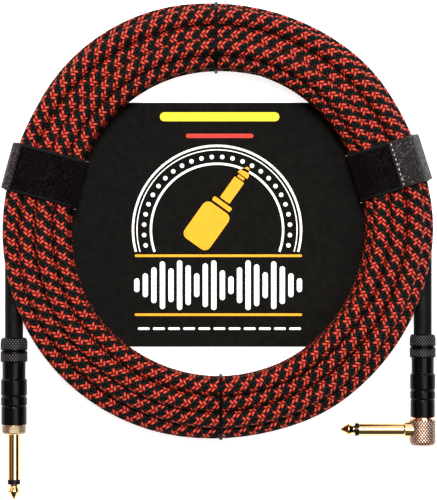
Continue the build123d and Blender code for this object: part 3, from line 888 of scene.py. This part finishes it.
def strap(side, angle, hinge_r):
    """Loop band round the bundle, and the hook tab that closes over it from its hinge line."""
    offset = CABLE_R + STRAP_GAP + STRAP_T / 2
    route = wrap(angle, STRAP_W / 2, offset, STRAP_T / 2 + STRAP_LIFT, STRAP_SLACK)
    route = eased_route(even(route, 1.0 * MM), 6)
    width = STRAP_W + np.interp(route[:, 1], *zip(*STRAP_SPREAD))
    loop = band(f"{side}_loop_band", route, angle, width, STRAP_T, LOOP_TAPE, "cable", True, BAND_FUZZ)
    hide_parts(f"{side}_strap_band")
    route = tab_route(angle, TAB_T / 2)
    keep = (route[:, 0] > hinge_r) & (route[:, 1] > TAB_END_Z)
    route = eased_route(even(route[keep], 1.0 * MM, closed=False), 6, closed=False)
    tab = band(f"{side}_hook_tab", route, angle, STRAP_W - TAB_INSET, TAB_T, HOOK_TAPE, f"{side}_tab_body",
               False, TAB_FUZZ)
    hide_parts(f"{side}_strap_hook_tab")


def stitches(side, angle, hinge_r):
    """A row of thread stitches across the tab, just outside its hinge line."""
    route = tab_route(angle, TAB_T)
    on_top = route[route[:, 1] > COIL[2]]
    across, height = on_top[np.argmin(np.abs(on_top[:, 0] - hinge_r - 1.2 * MM))]
    out, beside = strap_axes(angle)
    run = np.linspace(-STITCH_HALF, STITCH_HALF, 7)
    for k in range(STITCHES):
        centre = (k - (STITCHES - 1) / 2) * STRAP_W / (STITCHES + 0.6)
        line = (COIL_AXIS + height * UP + out * across + (run + centre)[:, None] * beside
                - (run[:, None] / STITCH_HALF) ** 2 * 0.2 * MM * UP)
        piece = skin(f"{side}_stitch_{k + 1}", tube(line, STITCH_R, 8), THREADS[side], f"{side}_tab_body")


for side, angle, hinge_r in (("left", LEFT_STRAP, LEFT_HINGE_R), ("right", RIGHT_STRAP, RIGHT_HINGE_R)):
    strap(side, angle, hinge_r)
    stitches(side, angle, hinge_r)


def twin_section(count=12):
    """Outline of two wires side by side: (sideways, outward) points."""
    sweep = np.linspace(-0.75 * math.pi, 0.75 * math.pi, count)
    right = np.stack([WIRE_R * (0.95 + np.cos(sweep)), WIRE_R * np.sin(sweep)], -1)
    return np.concatenate([right, -right])


def wire_tie(name, angle, shift, knot_share, bend):
    """Twin wire bent round the bundle, its two ends twisted together into a short bent tail.

    knot_share is the share of the way round at which the tail starts, and bend is its points in millimetres:
    (outward, along the coil, up)."""
    out, beside = strap_axes(angle)
    route = wrap(angle, 3 * MM, CABLE_R + WIRE_R + 0.1 * MM, WIRE_R)
    route = eased_route(even(route, 0.8 * MM), 12)
    section = twin_section()
    flat = route[:, None] + normals_of(route)[:, None] * section[None, :, 1:2]
    shift *= math.copysign(1, beside[0])
    aside = shift + section[:, 0]
    rings = COIL_AXIS + flat[:, :, :1] * out + flat[:, :, 1:] * UP + aside[None, :, None] * beside
    loop = skin(f"{name}_loop", rings, TIE_PLASTIC, "cable", closed=True)
    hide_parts(name)
    start = route[int(knot_share * len(route))]
    base = COIL_AXIS + out * start[0] + UP * start[1] + shift * beside
    line = smooth_line([base + MM * (a * out + b * beside + c * UP) for a, b, c in bend])
    line, reach = resampled(line, 0.3 * MM)
    above, side = frames_of(line, up=beside)
    for k in (0, 1):
        turn = 2 * np.pi * reach / TWIST_PITCH + math.pi * k
        offset = WIRE_R * 0.95 * (np.cos(turn)[:, None] * above + np.sin(turn)[:, None] * side)
        strand = tube(line + offset, WIRE_R, 10, up=beside)
        twisted = skin(f"{name}_twisted_end_{k + 1}", strand, TIE_PLASTIC, "cable")


# ---------- finishes of the pieces inside
TINNED = finish_of("tinned_lug", rgb(176, 172, 164), rgb(206, 202, 192), 1500, 0.02 * MM, (0.25, 0.45),
                   metallic=1.0)
COPPER = finish_of("bare_copper", rgb(190, 110, 72), rgb(222, 142, 100), 4000, 0.05 * MM, (0.25, 0.4),
                   metallic=1.0)
LINER = finish_of("liner_tube", rgb(196, 186, 160), rgb(214, 206, 184), 2000, 0.02 * MM, (0.5, 0.6))
NYLON = finish_of("collet_nylon", rgb(24, 24, 26), rgb(38, 38, 40), 2500, 0.02 * MM, (0.4, 0.55))
CORE = finish_of("core_polythene", rgb(226, 224, 216), rgb(240, 238, 232), 1500, 0.01 * MM, (0.35, 0.5))
PVC = finish_of("inner_jacket_pvc", rgb(20, 20, 22), rgb(34, 34, 36), 2000, 0.02 * MM, (0.45, 0.6))
TIE_PLASTIC = finish_of("tie_plastic", rgb(9, 8, 9), rgb(18, 16, 18), 3000, 0.01 * MM, (0.45, 0.6),
                        Specular_IOR_Level=0.1)
CARD = finish_of("card_black", rgb(21, 20, 18), rgb(26, 25, 23), 1800, 0.01 * MM, (0.55, 0.7),
                 Specular_IOR_Level=0.03)
# by the ending of the node's name
FINISHES = {"tip_lug": TINNED, "ground_lug": TINNED, "centre_wire": COPPER, "shield_pigtail": COPPER,
            "tip_insulator": BLACK_PLASTIC, "lug_washer": BLACK_PLASTIC, "lug_bush": BLACK_PLASTIC,
            "barrel_liner": LINER, "cable_collet": NYLON, "core_insulation": CORE, "inner_jacket": PVC,
            "backing_card": CARD}

for name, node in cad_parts.items():
    for ending, material in FINISHES.items():
        if name.endswith(ending):
            node.data.materials.clear()
            node.data.materials.append(material)

wire_tie("top_wire_tie", 0, -1.2 * MM, 0.36,
         [(0, 0, 0), (-1.5, -1, 1), (-2.4, -2, -1), (-1.5, -1, -4), (-2.5, 1.5, -7)])
wire_tie("bottom_wire_tie", 180, 1.2 * MM, 0.1,
         [(0, 0, 0), (1.2, 0.5, 1), (2.0, 1, -1), (2.2, 0.5, -4), (1.5, -1.5, -7)])


# ---------- what is printed on the card
INK_T = 0.06 * MM
INK_SINK = 0.01 * MM  # how far the ink reaches into the card
CARD_MIDDLE = middle("backing_card")
# in millimetres, from the card's centre
RING_CENTRE = (-0.7, -2.6)
RING_ARCS = [(42.2, 1.2), (40.2, 0.6), (33.2, 1.2)]  # radius and width
RING_DOTS = 44
DOTS_R = 36.7
RING_FOOT = 11.0  # how far below its centre the ring ends
PLUG_TILT = -0.62  # radians
LEVELS = [7, 12, 18, 24, 17, 25, 20, 12, 22, 25, 15, 9, 18, 25, 21, 13, 24, 19, 12, 7]


def ink(name, colour):
    """Printing ink, slightly mottled."""
    return finish_of(name, tuple(0.92 * c for c in colour[:3]) + (1,), colour, 900, 0.004 * MM, (0.45, 0.6),
                     Specular_IOR_Level=0.2)


WHITE_INK = ink("white_ink", rgb(238, 238, 236))
YELLOW_INK = ink("yellow_ink", rgb(222, 208, 44))
AMBER_INK = ink("amber_ink", rgb(228, 164, 24))
RED_INK = ink("red_ink", rgb(196, 52, 40))


def printed(name, outlines, material):
    """Flat printed shapes on the card, from outlines in millimetres about its centre."""
    vertices, faces = [], []
    for outline in outlines:
        count, first = len(outline), len(vertices)
        for height in (CARD_TOP - INK_SINK, CARD_TOP + INK_T):
            vertices += [(CARD_MIDDLE[0] + x * MM, CARD_MIDDLE[1] + y * MM, height) for x, y in outline]
        faces.append([first + k for k in range(count)][::-1])
        faces.append([first + count + k for k in range(count)])
        for k in range(count):
            on = (k + 1) % count
            faces.append([first + k, first + on, first + count + on, first + count + k])
    mesh = bpy.data.meshes.new(name)
    mesh.from_pydata(vertices, [], faces)
    mesh.update()
    mesh.materials.append(material)
    piece = placed(name, mesh)
    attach(piece, "cable")


def disc(x, y, radius, count=20):
    """A round dot."""
    turn = 2 * np.pi * np.arange(count) / count
    return np.stack([x + radius * np.cos(turn), y + radius * np.sin(turn)], -1)


def turned(points, turn):
    """Flat points turned about the middle."""
    c, s = math.cos(turn), math.sin(turn)
    return np.array(points) @ np.array([[c, s], [-s, c]])


def bar(x, y, width, height, corner):
    """A bar with rounded ends."""
    arc = np.linspace(0, np.pi / 2, 6)
    points = []
    for k, (sx, sy) in enumerate(((1, 1), (-1, 1), (-1, -1), (1, -1))):
        cx, cy = x + sx * (width / 2 - corner), y + sy * (height / 2 - corner)
        around = arc + k * math.pi / 2
        points += [(cx + corner * math.cos(t), cy + corner * math.sin(t)) for t in around]
    return np.array(points)


def printed_arc(name, radius, width, start, end):
    """An arc of white ink round the ring's centre, between two angles in degrees."""
    turn = np.radians(np.linspace(start, end, 160))
    way = np.stack([np.cos(turn), np.sin(turn), 0 * turn], -1)
    inner, outer = (radius - width / 2) * MM, (radius + width / 2) * MM
    x, y = CARD_MIDDLE[0] + RING_CENTRE[0] * MM, CARD_MIDDLE[1] + RING_CENTRE[1] * MM
    section = [(inner, CARD_TOP - INK_SINK), (outer, CARD_TOP - INK_SINK), (outer, CARD_TOP + INK_T),
               (inner, CARD_TOP + INK_T)]
    rings = np.stack([way * r + np.array([x, y, z]) for r, z in section], 1)
    skin(name, rings, WHITE_INK, "cable")


def card_print():
    """Bars for the headings, a ring of dots round a picture of a plug, and a row of level bars."""
    printed("card_heading_bar", [bar(0.6, 54.2, 60, 4.6, 2.2)], YELLOW_INK)
    printed("card_second_bar", [bar(0.6, 44.6, 34, 2.2, 1.1)], RED_INK)
    for k, (radius, width) in enumerate(RING_ARCS):
        end = math.degrees(math.asin(RING_FOOT / radius))
        printed_arc(f"card_arc_{k + 1}", radius, width, -end, 180 + end)
    spots = [disc(RING_CENTRE[0] + DOTS_R * math.cos(t), RING_CENTRE[1] + DOTS_R * math.sin(t), 1.15)
             for t in 2 * np.pi * (np.arange(RING_DOTS) + 0.5) / RING_DOTS
             if DOTS_R * math.sin(t) > 0.4 - RING_FOOT]
    printed("card_ring_dots", spots, WHITE_INK)
    point = [(-3.2, 25.7), (3.2, 25.7), (3.2, 27.2), (0.7, 31.2), (-0.7, 31.2), (-3.2, 27.2)]
    plug = [bar(0, -8, 17, 24, 3.5), bar(0, 6.6, 12, 2.6, 0.8), bar(0, 16, 6.4, 14, 0.6),
            bar(0, 24.4, 4.2, 1.4, 0.4), point]
    place = np.array(RING_CENTRE) + np.array([-1, 8])
    printed("card_plug_picture", [turned(part, PLUG_TILT) * 0.92 + place for part in plug], AMBER_INK)
    levels = [bar(-41.0 + 4.3 * k, -30.4, 2.7, tall, 1.3) for k, tall in enumerate(LEVELS)]
    printed("card_level_bars", levels, WHITE_INK)
    printed("card_level_lines", [bar(0, -15.6, 84, 1.3, 0.6), bar(0, -45.2, 84, 1.3, 0.6)], AMBER_INK)
    printed("card_foot_dashes", [bar(-37.5 + 7.6 * k, -52.2, 6.0, 1.3, 0.6) for k in range(11)], WHITE_INK)


card_print()


# ---------- studio
def floor():
    """A plain white floor that glows a little, so that it stays white under soft light."""
    material = finish_of("studio_floor", rgb(186, 186, 186), rgb(190, 190, 190), 40, 0.0, (0.8, 0.9),
                         Emission_Color=(1, 1, 1, 1), Emission_Strength=FLOOR_GLOW)
    mesh = bpy.data.meshes.new("studio_floor")
    corners = [(FLOOR_HALF * x, FLOOR_HALF * y, 0) for x, y in ((-1, -1), (1, -1), (1, 1), (-1, 1))]
    mesh.from_pydata(corners, [], [(0, 1, 2, 3)])
    mesh.materials.append(material)
    placed("studio_floor", mesh)


def light(name, place, aim, width, height, power):
    """A soft panel of light."""
    data = bpy.data.lights.new(name, "AREA")
    data.shape = "RECTANGLE"
    data.size, data.size_y, data.energy = width, height, power
    lamp = placed(name, data)
    lamp.location = place
    lamp.rotation_euler = (Vector(aim) - Vector(place)).to_track_quat("-Z", "Y").to_euler()


def ramp(tree, value, knots):
    """Steps between (place, colour) knots, with places from -1 to 1. A plain number is a grey."""
    node = tree.nodes.new("ShaderNodeValToRGB")
    feed(tree, node.inputs[0], spread(tree, value, -1.0, 1.0))
    while len(node.color_ramp.elements) < len(knots):
        node.color_ramp.elements.new(0.5)
    for element, (place, colour) in zip(node.color_ramp.elements, knots):
        element.position = (place + 1) / 2
        element.color = (*colour, 1) if isinstance(colour, tuple) else (colour, colour, colour, 1)
    return node.outputs[0]


def sky():
    """Panels side by side, warm on the left and brighter towards the back, for metal and gloss to reflect."""
    world = bpy.data.worlds.new("studio")
    bpy.context.scene.world = world
    world.use_nodes = True
    tree = world.node_tree
    apart = tree.nodes.new("ShaderNodeSeparateXYZ")
    feed(tree, apart.inputs[0], tree.nodes.new("ShaderNodeTexCoord").outputs["Generated"])
    brown, peach, olive = (0.18, 0.085, 0.05), (0.6, 0.36, 0.26), (0.16, 0.13, 0.08)
    panels = [(-1, brown), (-0.88, brown), (-0.78, peach), (-0.5, peach), (-0.4, olive), (0.02, olive),
              (0.1, 0.45), (0.52, 0.45), (0.6, 0.01), (1, 0.01)]
    back = [(-1, 0.06), (-0.5, 0.14), (0, 0.2), (0.1, 0.24), (0.25, 0.7), (0.8, 1.0), (1, 0.7)]
    background = tree.nodes["Background"]
    feed(tree, background.inputs[0], ramp(tree, apart.outputs[0], panels))
    strength = calc(tree, "MULTIPLY", ramp(tree, apart.outputs[1], back), SKY_STRENGTH)
    feed(tree, background.inputs[1], strength)


def camera():
    """Straight above the coil."""
    data = bpy.data.cameras.new("camera")
    data.sensor_fit = "VERTICAL"
    data.sensor_height = SENSOR_HEIGHT
    data.lens = SENSOR_HEIGHT * CAMERA_DISTANCE / VIEW_HEIGHT
    data.clip_end = 20
    piece = placed("camera", data)
    piece.location = (*VIEW_CENTRE, middle("straight_barrel")[2] + CAMERA_DISTANCE)
    bpy.context.scene.camera = piece


floor()
sky()
light("key", (0.0, 0.3, 1.2), (0, 0, 0), 0.25, 0.25, 15)
light("right_softbox", (0.42, 0.0, 1.2), (0, 0, 0), 0.6, 0.8, 5)
camera()
bpy.context.scene.view_settings.view_transform = "Standard"
bpy.context.scene.view_settings.look = "Medium High Contrast"
